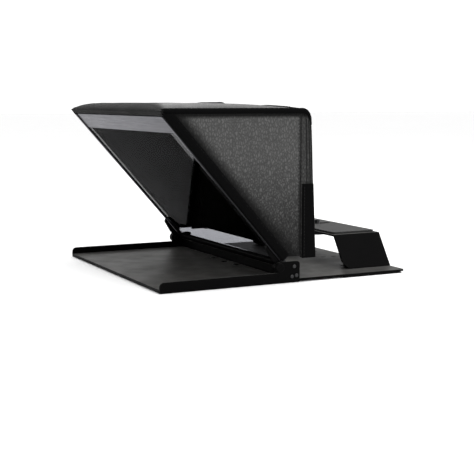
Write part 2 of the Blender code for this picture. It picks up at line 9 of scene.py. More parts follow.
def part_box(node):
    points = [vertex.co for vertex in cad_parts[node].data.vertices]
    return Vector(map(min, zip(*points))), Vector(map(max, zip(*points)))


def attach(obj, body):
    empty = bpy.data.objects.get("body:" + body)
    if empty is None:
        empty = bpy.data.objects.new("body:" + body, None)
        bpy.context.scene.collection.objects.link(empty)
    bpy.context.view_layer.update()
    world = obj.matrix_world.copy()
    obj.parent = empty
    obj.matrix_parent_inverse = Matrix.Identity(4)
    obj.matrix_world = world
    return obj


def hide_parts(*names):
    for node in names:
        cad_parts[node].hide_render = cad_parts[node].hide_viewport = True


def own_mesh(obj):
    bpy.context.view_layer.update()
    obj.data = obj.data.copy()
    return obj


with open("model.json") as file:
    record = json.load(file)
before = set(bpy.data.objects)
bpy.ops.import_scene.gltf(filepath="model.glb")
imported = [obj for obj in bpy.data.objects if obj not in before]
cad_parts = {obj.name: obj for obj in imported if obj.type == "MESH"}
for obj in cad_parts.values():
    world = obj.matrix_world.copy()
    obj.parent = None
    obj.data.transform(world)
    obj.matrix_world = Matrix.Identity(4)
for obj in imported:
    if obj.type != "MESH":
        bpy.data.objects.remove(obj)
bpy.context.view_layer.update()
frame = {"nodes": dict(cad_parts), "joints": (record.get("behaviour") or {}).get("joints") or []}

MM = 0.001
SIDES = (("left", -1), ("right", 1))


def corners(node):
    """Lowest and highest corner of a CAD node's box."""
    low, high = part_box(node)
    return Vector(low), Vector(high)


# ---- places, from the frame ---------------------------------------------------------------------
TOP_HIGH = corners("hood_top_panel")[1]
SIDE_LOW, SIDE_HIGH = corners("hood_side_panel_right")
REAR_LOW, REAR_HIGH = corners("hood_rear_border_right")
BIND_LOW = corners("hood_front_binding_right")[0]
COLLAR_LOW, COLLAR_HIGH = corners("lens_collar")
HINGE = next(joint for joint in frame["joints"] if joint["name"] == "mirror_fold")
PIVOT = Vector(HINGE["pos_m"])

HALF = SIDE_HIGH.x                       # outer face of the hood's sides
CROWN = 7.0 * MM                         # rise of the hood's top above its side edges
EDGE_Z = TOP_HIGH.z - CROWN              # the hood's top side edges
MIRROR_ANGLE = math.radians(48.7)        # glass above the horizontal
BORDER = 10.5 * MM                       # binding's width, measured level
FRONT_Y = SIDE_LOW.y - BORDER - (EDGE_Z - SIDE_HIGH.z) / math.tan(MIRROR_ANGLE)
REAR_Y = TOP_HIGH.y
SEAM_Y = SIDE_HIGH.y
GLASS_UP = Vector((0, -math.cos(MIRROR_ANGLE), math.sin(MIRROR_ANGLE)))
GLASS_BACK = Vector((0, math.sin(MIRROR_ANGLE), math.cos(MIRROR_ANGLE)))
SHEET = 1.5 * MM                         # thickness of the leatherette with its lining


def front_y(z):
    """Front edge of the hood at a height, in the plane of the glass."""
    return FRONT_Y + (EDGE_Z - z) / math.tan(MIRROR_ANGLE)


def rear_y(z):
    """Rear edge of the hood at a height: it leans back a little to the bottom."""
    return REAR_Y + (REAR_HIGH.y - REAR_Y) * (EDGE_Z - z) / (EDGE_Z - REAR_LOW.z)


def crown_rise(x, y):
    """Rise of the hood's top above its side edges."""
    b = min(1.0, max(0.0, (y - FRONT_Y) / (REAR_Y - FRONT_Y)))
    across = math.sqrt(max(0.0, 1 - min(1.0, abs(x) / HALF) ** 8))
    along = math.sqrt(1 - max(0.0, 1 - b / 0.12) ** 2)
    return CROWN * across * along * (1 - 0.70 * (max(0.0, b - 0.5) / 0.5) ** 1.5)


# ---- material nodes -----------------------------------------------------------------------------
class Looks:
    """A material in the making. Its nodes read the piece's own coordinates, in metres."""

    def __init__(self, name):
        self.material = bpy.data.materials.new(name)
        self.material.use_nodes = True
        self.tree = self.material.node_tree
        self.shader = self.tree.nodes["Principled BSDF"]
        self.place = self.add("ShaderNodeTexCoord").outputs["Object"]

    def add(self, kind, **settings):
        node = self.tree.nodes.new(kind)
        for key, value in settings.items():
            setattr(node, key, value)
        return node

    def feed(self, socket, value):
        """Link a socket to another node's output, or give it a plain value."""
        if isinstance(value, bpy.types.NodeSocket):
            self.tree.links.new(value, socket)
        else:
            socket.default_value = value

    def set(self, **inputs):
        """Feed the shader's own inputs, by their names with underscores for spaces."""
        for key, value in inputs.items():
            self.feed(self.shader.inputs[key.replace("_", " ")], value)

    def stretch(self, factors):
        """The piece's coordinates scaled along X, Y and Z, which draws a pattern out where it's below 1."""
        node = self.add("ShaderNodeMapping")
        self.feed(node.inputs["Vector"], self.place)
        node.inputs["Scale"].default_value = factors
        return node.outputs["Vector"]

    def noise(self, scale, detail=3.0, rough=0.55, distortion=0.0, where=None):
        node = self.add("ShaderNodeTexNoise")
        self.feed(node.inputs["Vector"], where or self.place)
        for key, value in (("Scale", scale), ("Detail", detail), ("Roughness", rough),
                           ("Distortion", distortion)):
            node.inputs[key].default_value = value
        return node.outputs["Fac"]

    def cells(self, scale, where=None, feature="F1"):
        node = self.add("ShaderNodeTexVoronoi", feature=feature)
        self.feed(node.inputs["Vector"], where or self.place)
        node.inputs["Scale"].default_value = scale
        return node.outputs["Distance"]

    def waves(self, scale, direction, distortion=0.0, where=None):
        node = self.add("ShaderNodeTexWave", bands_direction=direction)
        self.feed(node.inputs["Vector"], where or self.place)
        node.inputs["Scale"].default_value = scale
        node.inputs["Distortion"].default_value = distortion
        return node.outputs["Fac"]

    def math(self, operation, a, b=0.0, clamp=False):
        node = self.add("ShaderNodeMath", operation=operation, use_clamp=clamp)
        self.feed(node.inputs[0], a)
        self.feed(node.inputs[1], b)
        return node.outputs[0]

    def remap(self, value, low, high, to_low, to_high):
        node = self.add("ShaderNodeMapRange")
        for key, item in (("Value", value), ("From Min", low), ("From Max", high),
                          ("To Min", to_low), ("To Max", to_high)):
            self.feed(node.inputs[key], item)
        return node.outputs[0]

    def mix(self, factor, a, b):
        node = self.add("ShaderNodeMix", data_type="RGBA")
        self.feed(node.inputs[0], factor)
        self.feed(node.inputs[6], a if isinstance(a, bpy.types.NodeSocket) else (*a, 1.0))
        self.feed(node.inputs[7], b if isinstance(b, bpy.types.NodeSocket) else (*b, 1.0))
        return node.outputs[2]

    def bump(self, height, strength, distance, normal=None):
        node = self.add("ShaderNodeBump")
        self.feed(node.inputs["Height"], height)
        node.inputs["Strength"].default_value = strength
        node.inputs["Distance"].default_value = distance
        if normal is not None:
            self.feed(node.inputs["Normal"], normal)
        return node.outputs["Normal"]

    def upward(self):
        """1 on faces that look up, and 0 on the others."""
        split = self.add("ShaderNodeSeparateXYZ")
        self.feed(split.inputs[0], self.add("ShaderNodeNewGeometry").outputs["Normal"])
        return self.remap(split.outputs["Z"], 0.86, 0.99, 0.0, 1.0)

    def edges(self, radius):
        """Rounded normal of the edges, and how near a point is to an edge, from 0 to 1."""
        soft = self.add("ShaderNodeBevel", samples=4)
        soft.inputs["Radius"].default_value = radius
        hard = self.add("ShaderNodeNewGeometry")
        dot = self.add("ShaderNodeVectorMath", operation="DOT_PRODUCT")
        self.feed(dot.inputs[0], soft.outputs["Normal"])
        self.feed(dot.inputs[1], hard.outputs["Normal"])
        near = self.remap(dot.outputs["Value"], 0.98, 0.75, 0.0, 1.0)
        return soft.outputs["Normal"], near


def black_metal():
    """Powder-coated sheet: fine orange peel, edges rubbed lighter, and what faces up painted lighter,
    mottled like fine dust: dust and a painted reflection of the light from above.
    """
    look = Looks("satin_black_metal")
    rounded, near = look.edges(0.5 * MM)
    patches = look.noise(38, 4)
    peel = look.noise(1900, 2)
    speckle = look.noise(5200, 1)
    coat = look.mix(patches, (0.0007, 0.0007, 0.0008), (0.0019, 0.0018, 0.0018))
    coat = look.mix(look.remap(speckle, 0.6, 0.75, 0.0, 0.4), coat, (0.006, 0.006, 0.006))
    # painted reflection: faces that look up get a mottled light grey, both fine dust and the bright light
    # above that they would mirror
    dust = look.math("MULTIPLY", look.upward(), look.remap(look.noise(55, 5), 0.3, 0.7, 0.55, 1.0))
    coat = look.mix(dust, coat, (0.058, 0.057, 0.0545))
    worn = look.math("MULTIPLY", near, look.remap(look.noise(420, 3), 0.45, 0.7, 0.0, 0.6), clamp=True)
    look.set(Base_Color=look.mix(worn, coat, (0.055, 0.055, 0.056)), Metallic=0.0, IOR=1.45,
             Specular_IOR_Level=0.025)
    rough = look.remap(patches, 0.3, 0.7, 0.36, 0.48)
    look.set(Roughness=look.math("ADD", rough, look.math("MULTIPLY", speckle, 0.06)))
    height = look.math("ADD", peel, look.math("MULTIPLY", speckle, 0.4))
    look.set(Normal=look.bump(height, 0.35, 0.03 * MM, rounded))
    return look.material


def dark_steel():
    """Blackened steel of screws and bush, with turning marks and brighter edges."""
    look = Looks("blackened_steel")
    rounded, near = look.edges(0.25 * MM)
    marks = look.noise(900, 3, where=look.stretch((1.0, 1.0, 6.0)))
    tone = look.mix(marks, (0.022, 0.022, 0.023), (0.050, 0.050, 0.051))
    look.set(Base_Color=look.mix(look.math("MULTIPLY", near, 0.6), tone, (0.14, 0.14, 0.143)),
             Metallic=1.0, Roughness=look.remap(marks, 0.3, 0.7, 0.24, 0.42),
             Normal=look.bump(marks, 0.3, 0.02 * MM, rounded))
    return look.material


def satin_band():
    """Brushed dark aluminium of the band over the glass: fine lines along it, a soft pale gloss."""
    look = Looks("brushed_dark_aluminium")
    rounded, near = look.edges(0.4 * MM)
    lines = look.noise(700, 4, where=look.stretch((0.05, 1.0, 1.0)))
    cloud = look.noise(22, 3)
    tone = look.mix(cloud, (0.026, 0.0258, 0.0285), (0.033, 0.0328, 0.0355))
    look.set(Base_Color=look.mix(look.math("MULTIPLY", near, 0.5), tone, (0.07, 0.07, 0.073)),
             Metallic=0.9, Specular_Tint=(0.84, 0.84, 0.87, 1.0),
             Roughness=look.remap(lines, 0.3, 0.7, 0.26, 0.36),
             Normal=look.bump(lines, 0.2, 0.015 * MM, rounded))
    return look.material


def pebble_place(look, height):
    """Where the pebbles of the grain are read: drawn out upwards, and pushed about more low down."""
    wavy = look.remap(height, 0.03, 0.12, 2.2, 1.0)
    drift = look.add("ShaderNodeTexNoise")
    look.feed(drift.inputs["Vector"], look.place)
    drift.inputs["Scale"].default_value = 210
    centred = look.add("ShaderNodeVectorMath", operation="SUBTRACT")
    look.feed(centred.inputs[0], drift.outputs["Color"])
    centred.inputs[1].default_value = (0.5, 0.5, 0.5)
    push = look.add("ShaderNodeVectorMath", operation="SCALE")
    look.feed(push.inputs[0], centred.outputs[0])
    look.feed(push.inputs["Scale"], look.math("MULTIPLY", wavy, 0.0030))
    bent = look.add("ShaderNodeVectorMath", operation="ADD")
    look.feed(bent.inputs[0], look.stretch((1.0, 1.0, 0.55)))
    look.feed(bent.inputs[1], push.outputs[0])
    return bent.outputs[0]


def leatherette():
    """Pebble-grained vinyl, darker low down, with painted shade along the bindings and seams, under the
    piping and over the rolled front edge.
    """
    look = Looks("pebbled_leatherette")
    split = look.add("ShaderNodeSeparateXYZ")
    look.feed(split.inputs[0], look.place)
    where = pebble_place(look, split.outputs["Z"])
    pebbles = look.cells(470, where, "DISTANCE_TO_EDGE")
    fine = look.cells(1400, where)
    tops = look.remap(pebbles, 0.0, 0.36, 0.0, 1.0)
    height_share = look.remap(split.outputs["Z"], 0.035, 0.125, 0.0, 1.0)
    valley = look.mix(height_share, (0.006, 0.006, 0.006), (0.027, 0.027, 0.0265))
    broad = look.noise(30, 3)
    base = look.mix(broad, (0.055, 0.055, 0.054), (0.073, 0.0725, 0.072))
    tone = look.mix(tops, valley, base)
    # painted shade: the colour attribute darkens the grain where shadow falls, and the gloss is dulled
    # there too
    shade = look.add("ShaderNodeVertexColor", layer_name=SHADE).outputs["Color"]
    deep = look.add("ShaderNodeMix", data_type="RGBA", blend_type="MULTIPLY")
    deep.inputs[0].default_value = 1.0
    look.feed(deep.inputs[6], tone)
    look.feed(deep.inputs[7], shade)
    look.set(Base_Color=deep.outputs[2], Specular_IOR_Level=0.16, Sheen_Weight=0.02, Sheen_Roughness=0.45)
    rough = look.remap(broad, 0.3, 0.7, 0.60, 0.50)
    rough = look.math("SUBTRACT", rough, look.math("MULTIPLY", tops, 0.10))
    look.set(Roughness=look.math("ADD", rough, look.remap(shade, 0.1, 0.9, 0.40, 0.0), clamp=True))
    height = look.math("ADD", tops, look.math("MULTIPLY", fine, 0.35))
    height = look.math("ADD", height, look.math("MULTIPLY", look.noise(170, 2), 0.6))
    height = look.math("MULTIPLY", height, look.remap(height_share, 0.0, 1.0, 1.7, 1.0))
    look.set(Normal=look.bump(height, 1.0, 0.17 * MM))
    return look.material


def lining():
    """Black flocked lining inside the hood, which swallows stray light."""
    look = Looks("black_flock_lining")
    pile = look.noise(2400, 3)
    look.set(Base_Color=look.mix(pile, (0.0018, 0.0018, 0.0019), (0.006, 0.006, 0.0062)),
             Specular_IOR_Level=0.05, Roughness=look.remap(pile, 0.3, 0.7, 0.9, 1.0),
             Normal=look.bump(pile, 0.6, 0.1 * MM))
    return look.material


def tape_cloth():
    """Black grosgrain tape of the bindings: crossing ribs with a soft bloom."""
    look = Looks("black_binding_tape")
    ribs = look.waves(330, "DIAGONAL", 0.6)
    threads = look.waves(520, "Y", 0.8)
    weave = look.math("MULTIPLY", ribs, threads)
    fuzz = look.noise(2600, 3)
    tone = look.mix(weave, (0.0009, 0.0009, 0.0010), (0.0028, 0.0028, 0.0029))
    tone = look.mix(look.remap(fuzz, 0.55, 0.8, 0.0, 0.5), tone, (0.0065, 0.0065, 0.0066))
    look.set(Base_Color=tone, Specular_IOR_Level=0.025, Sheen_Weight=0.004, Sheen_Roughness=0.5,
             Roughness=look.remap(fuzz, 0.3, 0.7, 0.78, 0.92))
    height = look.math("ADD", weave, look.math("MULTIPLY", fuzz, 0.5))
    look.set(Normal=look.bump(height, 0.6, 0.12 * MM))
    return look.material


def thread():
    """Bonded nylon sewing thread, two plies twisted."""
    look = Looks("sewing_thread")
    twist = look.waves(900, "DIAGONAL", 0.3)
    look.set(Base_Color=look.mix(twist, (0.003, 0.003, 0.003), (0.010, 0.010, 0.010)),
             Specular_IOR_Level=0.1, Sheen_Weight=0.03, Roughness=look.remap(twist, 0, 1, 0.55, 0.7),
             Normal=look.bump(twist, 0.5, 0.06 * MM))
    return look.material


def rubber():
    """Ribbed rubber of the camera pad, dusty in the hollows."""
    look = Looks("ribbed_rubber")
    ribs = look.waves(62, "X")
    grain = look.noise(1400, 4)
    dust = look.math("MULTIPLY", look.noise(90, 4), look.math("SUBTRACT", 1.0, ribs))
    look.set(Base_Color=look.mix(dust, (0.011, 0.011, 0.011), (0.035, 0.034, 0.033)),
             Roughness=look.remap(grain, 0.3, 0.7, 0.72, 0.9), Specular_IOR_Level=0.35)
    height = look.math("ADD", look.math("MULTIPLY", ribs, 1.6), look.math("MULTIPLY", grain, 0.25))
    look.set(Normal=look.bump(height, 0.7, 0.35 * MM))
    return look.material


def nylon():
    """Moulded black nylon of the washers, slightly milky and pitted."""
    look = Looks("moulded_nylon")
    cloud = look.noise(240, 3)
    pits = look.cells(2100)
    look.set(Base_Color=look.mix(cloud, (0.014, 0.014, 0.015), (0.032, 0.032, 0.034)),
             Roughness=look.remap(cloud, 0.3, 0.7, 0.42, 0.56), Specular_IOR_Level=0.5,
             Normal=look.bump(pits, 0.25, 0.04 * MM))
    return look.material


def coated_glass():
    """Beam splitter: it mirrors a little and lets the rest through, with faint dust and streaks. It
    mirrors more in a strip down each side."""
    look = Looks("beam_splitter_coating")
    streaks = look.noise(26, 5, where=look.stretch((1.0, 0.35, 0.35)))
    dust = look.remap(look.noise(3400, 2), 0.70, 0.78, 0.0, 1.0)
    tint = look.mix(streaks, (0.20, 0.203, 0.22), (0.24, 0.243, 0.26))
    split = look.add("ShaderNodeSeparateXYZ")
    look.feed(split.inputs[0], look.place)
    from_middle = look.math("ABSOLUTE", split.outputs["X"])
    edge = look.remap(from_middle, GLASS_EDGE - 0.4 * MM, GLASS_EDGE + 0.4 * MM, 0.0, 1.0)
    tint = look.mix(edge, tint, (0.30, 0.30, 0.312))
    look.set(Base_Color=look.mix(dust, tint, (0.50, 0.50, 0.51)),
             Metallic=look.remap(edge, 0.0, 1.0, 0.015, 0.20), Transmission_Weight=1.0, IOR=1.012)
    smear = look.remap(streaks, 0.35, 0.75, 0.012, 0.05)
    look.set(Roughness=look.math("ADD", smear, look.math("MULTIPLY", dust, 0.05)))
    look.set(Normal=look.bump(streaks, 0.02, 0.02 * MM))
    return look.material


GLASS_STRIP = 11 * MM                    # width of the strip down each side of the glass
GLASS_EDGE = corners("beam_splitter_glass")[1].x - GLASS_STRIP
SHADE = "shade"                          # colour attribute of painted shade: 1 in the open, less where shadow falls along the bindings
METAL, STEEL, BAND, LEATHER, LINING = black_metal(), dark_steel(), satin_band(), leatherette(), lining()
TAPE, THREAD, RUBBER, NYLON, GLASS = tape_cloth(), thread(), rubber(), nylon(), coated_glass()
NODE_FINISH = (("washer", NYLON), ("screw", STEEL), ("bush", STEEL), ("camera_pad", RUBBER),
               ("mirror_top_bar", BAND), ("mirror_side_bar", BAND), ("splitter_glass", GLASS))


def finish_of(name):
    """The material of a carried-over CAD node, by what its name says it is."""
    return next((finish for part, finish in NODE_FINISH if part in name), METAL)


for node_name, node in frame["nodes"].items():
    node.data.materials.clear()
    node.data.materials.append(finish_of(node_name))


# ---- helpers for the pieces ---------------------------------------------------------------------
def piece(name, work, material, body="mirror", replaces=(), thickness=0.0, offset=-1.0,
          shade=None):
    """Make an object of a bmesh and give it its material and body."""
    bmesh.ops.recalc_face_normals(work, faces=work.faces)
    mesh = bpy.data.meshes.new(name)
    work.to_mesh(mesh)
    work.free()
    mesh.shade_smooth()
    mesh.materials.append(material)
    if material is LEATHER:
        mesh.materials.append(LINING)
        # painted shade, from the piece's shade function, stored per vertex
        tones = mesh.color_attributes.new(SHADE, "FLOAT_COLOR", "POINT")
        for tone, vertex in zip(tones.data, mesh.vertices):
            tone.color = (*[shade(vertex.co) if shade else 1.0] * 3, 1.0)
    obj = bpy.data.objects.new(name, mesh)
    bpy.context.scene.collection.objects.link(obj)
    if thickness:
        shell = obj.modifiers.new("cloth", "SOLIDIFY")
        shell.thickness = thickness
        shell.offset = offset
        shell.use_even_offset = False
        shell.material_offset = 1 if material is LEATHER else 0
    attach(obj, body)
    if replaces:
        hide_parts(*replaces)
    if body == "mirror":
        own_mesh(obj)
    return obj


def lattice(columns, rows, point, outward, closed_rows=False, closed_columns=False):
    """Quads through point(i, j), with their normals turned to the side that outward points to."""
    work = bmesh.new()
    grid = [[work.verts.new(point(i, j)) for i in range(columns)] for j in range(rows)]
    for j in range(rows if closed_rows else rows - 1):
        for i in range(columns if closed_columns else columns - 1):
            k, m = (i + 1) % columns, (j + 1) % rows
            work.faces.new((grid[j][i], grid[j][k], grid[m][k], grid[m][i]))
    bmesh.ops.recalc_face_normals(work, faces=work.faces)
    if outward is not None and sum(f.normal.dot(outward) * f.calc_area() for f in work.faces) < 0:
        bmesh.ops.reverse_faces(work, faces=work.faces)
    return work


def smooth(low, high, value):
    """Eased step from 0 at low to 1 at high, either way round."""
    t = min(1.0, max(0.0, (value - low) / (high - low)))
    return t * t * (3 - 2 * t)


def wrinkle(position, size, seed=0.0):
    """Soft unevenness of sewn cloth, about -1 to 1, at a size in metres."""
    return noise.noise(Vector(position) / size + Vector((seed, seed * 0.7, -seed)))


STITCH_PITCH = 3.1 * MM                  # from one stitch to the next


def stitches(name, lines):
    """Rows of lock stitches: each line is a list of (position, normal) pairs along a seam."""
    work = bmesh.new()
    for line in lines:
        travelled, target = 0.0, STITCH_PITCH / 2
        for (a, normal), (b, _) in zip(line, line[1:]):
            length = (b - a).length
            while target <= travelled + length and length > 0:
                along = (b - a).normalized()
                one_stitch(work, a + along * (target - travelled), along, normal)
                target += STITCH_PITCH
            travelled += length
    piece(name, work, THREAD)


def one_stitch(work, middle, along, normal, length=2.3 * MM, width=0.32 * MM, height=0.26 * MM):
    """A short thread that dives into the cloth at both ends."""
    across = along.cross(normal).normalized()
    rings = []
    for share, size in ((-0.5, 0.35), (-0.25, 0.95), (0.0, 1.0), (0.25, 0.95), (0.5, 0.35)):
        lift = height * (0.35 - 2.4 * share * share)
        centre = middle + along * (share * length) + normal * lift
        rings.append([work.verts.new(centre + across * (math.cos(turn) * width * size)
                                     + normal * (math.sin(turn) * height * size))
                      for turn in (i * math.tau / 6 for i in range(6))])
    for low, high in zip(rings, rings[1:]):
        for i in range(6):
            work.faces.new((low[i], low[(i + 1) % 6], high[(i + 1) % 6], high[i]))
    work.faces.new(rings[0][::-1])
    work.faces.new(rings[-1])


# ---- hood: top cover ----------------------------------------------------------------------------
COVER_HALF = HALF - 0.4 * MM
REAR_ROUND = 8.0 * MM                    # radius of the turn over the rear edge
REAR_PROUD = 1.8 * MM                    # how far the cover stands out behind the rear edge
# The front hem's places, in mm down the plane of the glass and back from it.
HEM = ((5.5, 2.4), (5.8, 1.4), (5.5, 0.5), (4.6, 0.05), (2.6, 0.0), (1.0, 0.0))


def cover_stations():
    """Stations from the front hem over the top to the turned-down rear edge, as (y, drop)."""
    made = []
    edge = Vector((0, FRONT_Y, EDGE_Z))
    for down, back in HEM:
        spot = edge - GLASS_UP * (down * MM) + GLASS_BACK * (back * MM)
        made.append((spot.y, EDGE_Z - spot.z))
    turn_y = REAR_Y + REAR_PROUD - REAR_ROUND
    rows = 56
    made += [(FRONT_Y + (turn_y - FRONT_Y) * (i / rows) ** 1.7, 0.0) for i in range(rows)]
    made += [(turn_y + REAR_ROUND * math.sin(t), REAR_ROUND * (1 - math.cos(t)))
             for t in (math.radians(90) * i / 8 for i in range(9))]
    for down in (2.5 * MM, 5.0 * MM):
        z = EDGE_Z - REAR_ROUND - down
        made.append((rear_y(z) + REAR_PROUD - 0.25 * MM, REAR_ROUND + down))
    return made


STATIONS = cover_stations()


def cover_z(x, y, drop=0.0):
    """Outer surface of the top cover, with its slight unevenness."""
    rise = crown_rise(x, y)
    pinned = smooth(0, 14 * MM, HALF - abs(x)) * smooth(0, 12 * MM, y - FRONT_Y)
    soft = 0.35 * MM * wrinkle((x, y, 0), 34 * MM) + 0.16 * MM * wrinkle((x, y, 0), 11 * MM, 3.1)
    pucker = 0.10 * MM * math.sin(y / (6.5 * MM) * math.tau) * smooth(12 * MM, 4 * MM, HALF - abs(x))
    return EDGE_Z + rise - drop + soft * pinned + pucker * smooth(0, 6 * MM, y - FRONT_Y)


def top_cover():
    """Leatherette sheet over the top, from the front hem to the turned-down rear edge."""
    columns = 121

    def point(i, j):
        x = COVER_HALF * math.sin(math.pi / 2 * (2 * i / (columns - 1) - 1))
        y, drop = STATIONS[j]
        if j < len(HEM):
            sag = 0.25 * MM * wrinkle((x, drop, 0), 16 * MM, 2.2)
            return x, y + sag * GLASS_BACK.y, EDGE_Z - drop + sag * GLASS_BACK.z
        return x, y, cover_z(x, y, drop)

    def shade(spot):
        """Painted shade over the rolled front edge, which reaches further back in the middle."""
        roll = 6 * MM + 26 * MM * smooth(0, 90 * MM, HALF - abs(spot.x))
        return 0.02 + 0.98 * smooth(0.40 * roll, 1.4 * roll, spot.y - FRONT_Y)

    work = lattice(columns, len(STATIONS), point, Vector((0, 0, 1)))
    cover = piece("hood_top_cover", work, LEATHER, replaces=("hood_top_panel",),
                  thickness=SHEET, shade=shade)


PIPE = 3.0 * MM                          # radius of the piped edge
PIPE_REAR = 0.8 * MM                     # its radius down the rear edge
PIPE_X = HALF + 0.2 * MM - PIPE


def pipe_path():
    """Middle line of the piped edge at a side: along the top, round the rear corner and down the back,
    as (x inwards from the first stretch, y, z, radius)."""
    z = EDGE_Z - 0.2 * MM
    turn = REAR_ROUND - PIPE + 0.6 * MM
    turn_y = REAR_Y + REAR_PROUD - PIPE - turn
    start = FRONT_Y + PIPE * 0.7
    path = [(0.0, start + (turn_y - start) * i / 60, z, PIPE) for i in range(60)]
    top, low, steps = z - turn, REAR_LOW.z + 1.5 * MM, 60

    def slimmed(turned, down):
        """Shift inwards, shift back and radius, where the piping thins out down the rear edge."""
        share = smooth(-12 * MM, 16 * MM, down - (1 - turned) * 12 * MM)
        size = PIPE - (PIPE - PIPE_REAR) * share
        return (size - PIPE) * 0.9, (PIPE - size) * 0.9, size

    for i in range(9):
        t = math.radians(90) * i / 8
        inset, back, size = slimmed(i / 8, 0.0)
        path.append((inset, turn_y + turn * math.sin(t) + back * math.sin(t),
                     z - turn * (1 - math.cos(t)) + back * math.cos(t), size))
    for i in range(1, steps + 1):
        down = (top - low) * i / steps
        inset, back, size = slimmed(1.0, down)
        y = REAR_Y + REAR_PROUD - PIPE + rear_y(top - down) - rear_y(top) + back
        path.append((inset, y, top - down, size))
    return path


def tube(path, radius_at, sides=18):
    """Closed tube along points in one upright plane at x, each (x, y, z)."""
    work = bmesh.new()
    rings = []
    for k, spot in enumerate(path):
        before, after = path[max(0, k - 1)], path[min(len(path) - 1, k + 1)]
        along = (Vector(after) - Vector(before)).normalized()
        out = Vector((1, 0, 0))
        up = out.cross(along).normalized()
        rings.append([work.verts.new(Vector(spot)
                                     + (out * math.cos(t) + up * math.sin(t)) * radius_at(k, t))
                      for t in (i * math.tau / sides for i in range(sides))])
    for low, high in zip(rings, rings[1:]):
        for i in range(sides):
            work.faces.new((low[i], low[(i + 1) % sides], high[(i + 1) % sides], high[i]))
    work.faces.new(rings[0])
    work.faces.new(rings[-1])
    return work


def piping(word, side):
    """Piped edge round a side, covered with binding tape that puckers a little."""
    route = pipe_path()
    path = [(side * (PIPE_X - inset), y, z) for inset, y, z, _ in route]
    last = len(path) - 1

    def radius(k, turn):
        cap = math.sqrt(1 - (1 - min(1.0, (min(k, last - k) + 0.6) / 2.4)) ** 2)
        _, y, z, size = route[k]
        return size * cap * (1 + 0.025 * math.sin((y - z) / (4.2 * MM) * math.tau + turn)
                             + 0.03 * wrinkle((turn * MM * 4, y, z), 9 * MM, side * 2.0))

    made = piece(f"hood_piping_{word}", tube(path, radius), TAPE)


# ---- hood: side panels --------------------------------------------------------------------------
SIDE_X = HALF - 0.75 * MM
HEM_HIGH = 5.5 * MM                      # height of the sewn hem at the bottom of a side


def side_x(y, z):
    """How far out a side panel stands: pulled in along its seams, easy in between."""
    front = front_y(z) + BORDER
    share_y = min(1.0, max(0.0, (y - front) / max(SEAM_Y - front, 1e-6)))
    share_z = min(1.0, max(0.0, (z - SIDE_LOW.z) / (EDGE_Z - SIDE_LOW.z)))
    belly = math.sin(math.pi * share_y) ** 0.7 * math.sin(math.pi * share_z) ** 0.7
    low = smooth(0.65, 0.1, share_z)
    soft = (0.30 + 0.35 * low) * MM * wrinkle((y, z * 0.6, 0), 19 * MM)
    soft += (0.08 + 0.14 * low) * MM * wrinkle((y, z, 0), 6.5 * MM, 5.0)
    near_seam = smooth(7 * MM, 1 * MM, min(SEAM_Y - y, (y - front) * 0.7))
    pucker = 0.10 * MM * math.sin(z / (6.2 * MM) * math.tau) * near_seam
    hem = 0.35 * MM * smooth(HEM_HIGH + 0.5 * MM, HEM_HIGH - 0.3 * MM, z - SIDE_LOW.z)
    groove = -0.25 * MM * math.exp(-((z - SIDE_LOW.z - HEM_HIGH) / (0.6 * MM)) ** 2)
    return SIDE_X + 0.9 * MM * belly + soft * (0.25 + 0.75 * belly) + pucker + hem + groove


def under_piping(z):
    """Painted shade of a sheet below the piped edge at the top: dark close under it, then 1."""
    return 0.02 + 0.98 * smooth(3.9 * MM, 6.9 * MM, EDGE_Z - z)


def side_panel(word, side):
    """Leatherette sheet of a side, between the front binding, the piping and the rear seam."""
    columns, rows = 84, 96
    low, high = SIDE_LOW.z, EDGE_Z - 1.2 * MM

    def point(i, j):
        z = low + (high - low) * j / (rows - 1)
        front, rear = front_y(z) + BORDER - 1.6 * MM, SEAM_Y + 1.2 * MM
        y = front + (rear - front) * i / (columns - 1)
        return side * side_x(y, z), y, z

    # painted shade: dark beside the binding, in the rear seam and under the piping; the side is also darker
    # low down
    def shade(spot):
        inset = (spot.y - front_y(spot.z) - BORDER) * math.sin(MIRROR_ANGLE)
        by_binding = 0.05 + 0.95 * smooth(0.5 * MM, 13.5 * MM, inset)
        by_seam = 0.15 + 0.85 * smooth(0.6 * MM, 1.8 * MM, SEAM_Y - spot.y)
        low_down = 0.26 + 0.74 * smooth(10 * MM, 120 * MM, spot.z)
        return by_binding * by_seam * under_piping(spot.z) * low_down

    work = lattice(columns, rows, point, Vector((side, 0, 0)))
    panel = piece(f"hood_side_{word}", work, LEATHER,
                  replaces=(f"hood_side_panel_{word}",), thickness=SHEET, shade=shade)
    mean_depth = 0.5 * ((rear_y(high) - front_y(high)) + (rear_y(low) - front_y(low)))


def binding_section(width):
    """Section of the folded tape, from the outer sewn edge round the nose to the inner, as (back, x)."""
    outer, inner = HALF + 0.35 * MM, HALF - 2.75 * MM
    nose = (outer - inner) / 2
    made = [(width, outer - 0.75 * MM), (width - 0.5 * MM, outer - 0.3 * MM),
            (width - 1.4 * MM, outer - 0.28 * MM), (width - 2.2 * MM, outer),
            (width * 0.5, outer + 0.1 * MM), (nose * 1.5, outer)]
    made += [(nose - nose * math.sin(t), (outer + inner) / 2 + nose * math.cos(t))
             for t in (math.radians(20) * i for i in range(1, 9))]
    made += [(nose * 1.6, inner), (width * 0.45, inner), (width * 0.62, inner + 0.1 * MM)]
    return made


